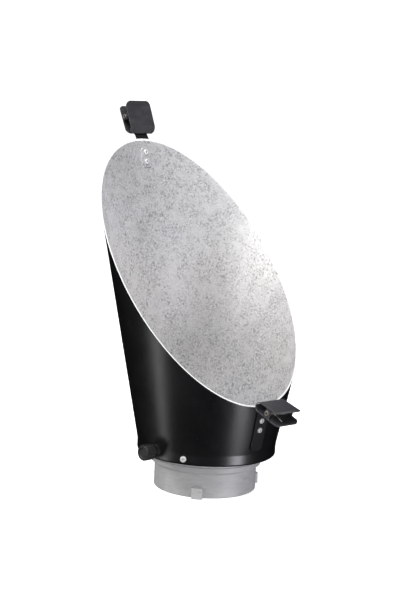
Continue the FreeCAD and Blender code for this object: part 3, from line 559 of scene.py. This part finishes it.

# -------------------------------------------------------------------- springs
# Torsion springs: one leg lies against the fixed plate, the coil winds up on
# the pin, and the other leg runs out towards the moving plate.


def spring(side):
    joint = joints[side + "_clip_jaw"]
    node = side + "_clip_spring"
    co = np.array([v.co for v in nodes[node].data.vertices], float)
    pos = np.array(joint["pos_m"], float)
    X = -np.array(joint["axis"], float)
    Y = -np.array(mounts[side + "_jaw_gap"]["axis"], float)
    Z = np.cross(X, Y)
    local = (co - pos) @ np.array([X, Y, Z]).T
    wr, cr, pitch, tilt, leg = 0.55 * mm, 2.5 * mm, 1.25 * mm, math.radians(8.0), 11.0 * mm
    turns = 7 + (262.0 - 98.0 + 2 * (8.0 - 8.0)) / 360.0
    span = turns * pitch
    x0 = -span / 2
    a0 = math.radians(98.0)
    line = []
    s0 = Vector((x0, cr * math.cos(a0), cr * math.sin(a0)))
    d0 = Vector((0, math.cos(tilt), math.sin(tilt)))
    for t in range(12, 0, -1):
        line.append(s0 + d0 * (leg * t / 12))
    steps = int(turns * 28)
    for i in range(steps + 1):
        a = a0 + 2 * math.pi * turns * i / steps
        line.append(Vector((x0 + span * i / steps, cr * math.cos(a), cr * math.sin(a))))
    a1 = a0 + 2 * math.pi * turns
    s1 = Vector((x0 + span, cr * math.cos(a1), cr * math.sin(a1)))
    d1 = Vector((0, math.cos(tilt), -math.sin(tilt)))
    for t in range(1, 13):
        line.append(s1 + d1 * (leg * t / 12))
    M = Matrix([[X[i], Y[i], Z[i]] for i in range(3)])
    line = [M @ p + Vector(pos) for p in line]
    ring = 12
    vs, fs = [], []
    u = None
    for i, p in enumerate(line):
        d = (line[min(i + 1, len(line) - 1)] - line[max(i - 1, 0)]).normalized()
        u = d.orthogonal().normalized() if u is None else (u - d * u.dot(d)).normalized()
        w = d.cross(u)
        for r, push in ((1.0, 0.0),) if 0 < i < len(line) - 1 else ((1.0, 0.0),):
            for k in range(ring):
                a = 2 * math.pi * k / ring
                vs.append(p + (u * math.cos(a) + w * math.sin(a)) * wr * r)
    for i in range(len(line) - 1):
        for k in range(ring):
            m = (k + 1) % ring
            fs.append((i * ring + k, i * ring + m, (i + 1) * ring + m, (i + 1) * ring + k))
    for i, sign in ((0, -1), (len(line) - 1, 1)):
        d = (line[i] - line[i - 1 if i else 1]).normalized()
        start = len(vs)
        for k in range(ring):
            vs.append(line[i] + (Vector(vs[i * ring + k]) - line[i]) * 0.7 + d * wr * 0.3)
        vs.append(line[i] + d * wr * 0.42)
        for k in range(ring):
            m = (k + 1) % ring
            q = (i * ring + k, i * ring + m, start + m, start + k)
            t = (start + k, start + m, start + ring)
            fs.append(q if sign > 0 else q[::-1])
            fs.append(t if sign > 0 else t[::-1])
    o = new_mesh(side + "_spring_wire", vs, fs, [wire])
    a = M @ Vector((x0 + 0.2 * mm, 0, 0)) + Vector(pos)
    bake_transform(o)
    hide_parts(node)
    return o


springs = [spring("upper"), spring("lower")]

# ------------------------------------------------------------- floor and light
floor_size = 12.0
floor = new_mesh("floor", [(-floor_size, -floor_size, -0.0004), (floor_size, -floor_size, -0.0004), (floor_size, floor_size, -0.0004), (-floor_size, floor_size, -0.0004)], [(0, 1, 2, 3)], [])
fm = Look("floor_pale", (0.93, 0.93, 0.93), 0.0, 0.9)
fm.color(fm.mix(fm.fit(fm.noise(3.0, 3.0), 0.3, 0.7), (0.92, 0.92, 0.92), (0.94, 0.94, 0.94)))
fm.b.inputs["Emission Color"].default_value = (1, 1, 1, 1)
fm.b.inputs["Emission Strength"].default_value = 0.85
floor.data.materials.append(fm.m)
floor.visible_glossy = False
floor.visible_shadow = False
floor.visible_diffuse = False

world = bpy.data.worlds.new("studio")
scene.world = world
world.use_nodes = True
bg = world.node_tree.nodes["Background"]
bg.inputs[0].default_value = (1, 1, 1, 1)
bg.inputs[1].default_value = 0.31
world.cycles_visibility.glossy = False
world.cycles_visibility.diffuse = True

# the white cyclorama, seen by the camera only
bm = bmesh.new()
bmesh.ops.create_icosphere(bm, subdivisions=4, radius=9.0)
me = bpy.data.meshes.new("backdrop")
bm.to_mesh(me)
bm.free()
backdrop = bpy.data.objects.new("backdrop", me)
scene.collection.objects.link(backdrop)
bk = Look("backdrop_white", (1.0, 1.0, 1.0), 0.0, 1.0)
bk.b.inputs["Emission Color"].default_value = (1, 1, 1, 1)
bk.b.inputs["Emission Strength"].default_value = 1.0
me.materials.append(bk.m)
for flag in ("visible_glossy", "visible_diffuse", "visible_shadow", "visible_transmission"):
    setattr(backdrop, flag, False)

target = Vector((0, 0, 0.17))


def softbox(name, azimuth, distance, height, width, tall, power, color=(1, 1, 1), aim=None):
    a = math.radians(azimuth)
    data = bpy.data.lights.new(name, "AREA")
    data.shape = "RECTANGLE"
    data.size, data.size_y = width, tall
    data.energy = power
    data.color = color
    o = bpy.data.objects.new(name, data)
    scene.collection.objects.link(o)
    o.location = Vector((math.cos(a) * distance, math.sin(a) * distance, height))
    o.rotation_mode = "QUATERNION"
    o.rotation_quaternion = (((aim or target) - o.location)).to_track_quat("-Z", "Y")
    o.visible_camera = False
    return o


softbox("left_key", 162, 1.6, 1.15, 0.50, 1.5, 22.0)
softbox("left_low", 157, 1.6, -0.45, 0.34, 0.75, 4.2)
softbox("right_low", 281, 1.6, -0.42, 0.52, 0.68, 14.5, (0.94, 0.94, 1.0))
softbox("overhead", 232, 0.9, 2.2, 1.6, 1.2, 54.0)
softbox("front_fill", 192, 2.4, 0.5, 1.2, 1.0, 8.0)

# ---------------------------------------------------------------------- camera
cam_data = bpy.data.cameras.new("camera")
cam = bpy.data.objects.new("camera", cam_data)
scene.collection.objects.link(cam)
az, el, roll = math.radians(-40.01), math.radians(9.0), math.radians(2.78)
back = Vector((math.sin(az) * math.cos(el), -math.cos(az) * math.cos(el), math.sin(el)))
fwd = -back
right = fwd.cross(Vector((0, 0, 1))).normalized()
up = right.cross(fwd)
r2 = right * math.cos(roll) + up * math.sin(roll)
u2 = up * math.cos(roll) - right * math.sin(roll)
T = Vector((3.72, 178.04, 1548.0)) * mm
place = -(r2 * T.x - u2 * T.y + fwd * T.z)
cam.matrix_world = Matrix([[r2[i], u2[i], back[i], place[i]] for i in range(3)] + [[0, 0, 0, 1]])
cam_data.sensor_fit = "AUTO"
cam_data.sensor_width = 36.0
cam_data.lens = 1600.0 / 601.0 * 36.0
cam_data.clip_start, cam_data.clip_end = 0.05, 60.0
scene.camera = cam

scene.view_settings.view_transform = "Standard"
scene.view_settings.look = "None"
scene.view_settings.exposure = 0.0
scene.view_settings.gamma = 1.0

bpy.context.view_layer.update()
